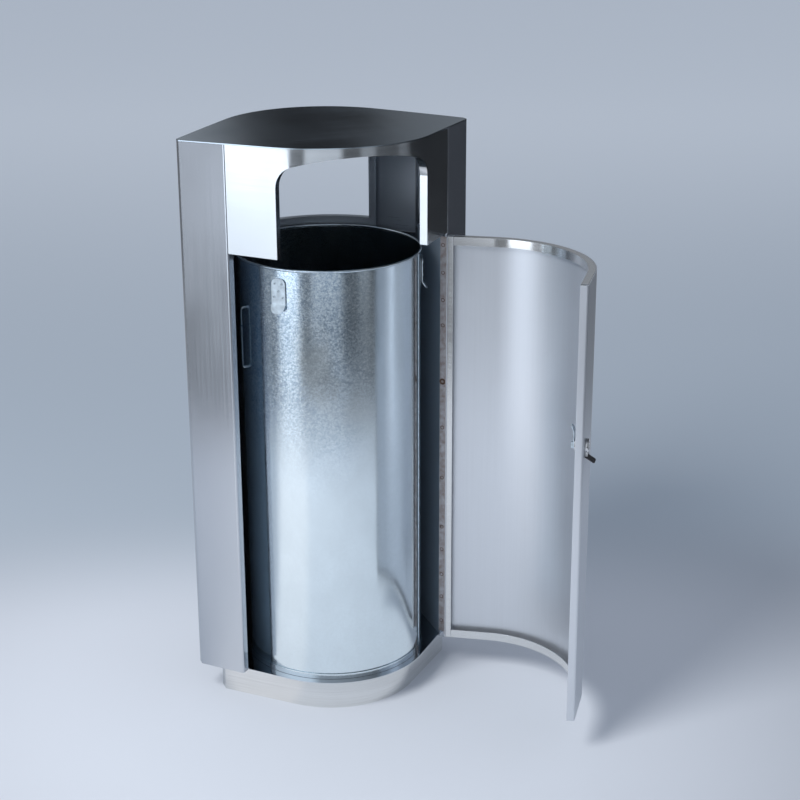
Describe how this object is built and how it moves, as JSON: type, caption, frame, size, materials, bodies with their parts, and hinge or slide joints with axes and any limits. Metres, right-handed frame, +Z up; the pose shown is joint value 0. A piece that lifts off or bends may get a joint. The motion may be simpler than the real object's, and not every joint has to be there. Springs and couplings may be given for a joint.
{
  "type": "litter bin",
  "caption": "Lens-shaped outdoor litter bin of folded steel sheet with arched throw-in openings, a hinged locking front door and a lift-out round galvanised bucket.",
  "frame": {"origin": "middle of the foot's underside, on the ground", "axes": "+Z up, -Y towards the door side, +X towards the door's hinge"},
  "size_m": [0.5689, 0.5936, 0.95],
  "materials": {
    "plinth_steel": "pale brushed stainless sheet",
    "polished_steel": "bright polished stainless sheet",
    "brushed_steel": "brushed stainless sheet",
    "satin_steel": "fine satin stainless sheet",
    "hinge_steel": "dull grey hinge steel",
    "lock_chrome": "chromed zinc casting",
    "dark_steel": "dark worn steel",
    "galvanised": "spangled galvanised sheet",
    "zinc_fitting": "light zinc-plated steel"
  },
  "bodies": {
    "casing": {"foot_plate": "plinth_steel", "plinth_band": "plinth_steel", "floor_plate": "polished_steel", "left_pillar": "brushed_steel", "right_pillar": "brushed_steel", "left_lining": "brushed_steel", "right_lining": "brushed_steel", "front_hood": "brushed_steel", "rear_hood": "brushed_steel", "rear_panel": "brushed_steel", "top_plate": "brushed_steel", "hinge_casing_leaf": "hinge_steel", "hinge_pin": "hinge_steel"},
    "door": {"door_skin": "satin_steel", "door_lock_stile": "satin_steel", "door_hinge_stile": "satin_steel", "door_bottom_rail": "satin_steel", "door_top_rail": "satin_steel", "hinge_door_leaf": "hinge_steel", "lock_housing": "lock_chrome", "lock_nut": "lock_chrome", "lock_flap_pin": "lock_chrome"},
    "lock_core": {"lock_plug": "lock_chrome", "lock_cam": "lock_chrome", "cam_bolt": "zinc_fitting"},
    "flap": {"lock_flap": "dark_steel"},
    "bucket": {"bucket_shell": "galvanised", "bucket_rim": "galvanised", "bucket_base": "galvanised", "bucket_grip": "zinc_fitting", "bucket_lug_1": "zinc_fitting", "bucket_lug_2": "zinc_fitting", "bucket_lug_3": "zinc_fitting"}
  },
  "joints": [
    {"name": "door_swing", "type": "hinge", "parent": "casing", "child": "door", "pos_m": [0.18037, -0.06592, 0.4], "axis": [0, 0, 1], "range_deg": [-102.35, 47.65]},
    {"name": "lock_turn", "type": "hinge", "parent": "door", "child": "lock_core", "pos_m": [0.27163, -0.39809, 0.519], "axis": [0.8269, -0.5624, 0], "range_deg": [0, 90]},
    {"name": "flap_swing", "type": "hinge", "parent": "door", "child": "flap", "pos_m": [0.27378, -0.39955, 0.506], "axis": [0.5624, 0.8269, 0], "range_deg": [-121, 0]},
    {"name": "bucket_lift", "type": "slide", "parent": "casing", "child": "bucket", "axis": [0, 0, 1], "range_m": [0, 0.15]}
  ]
}
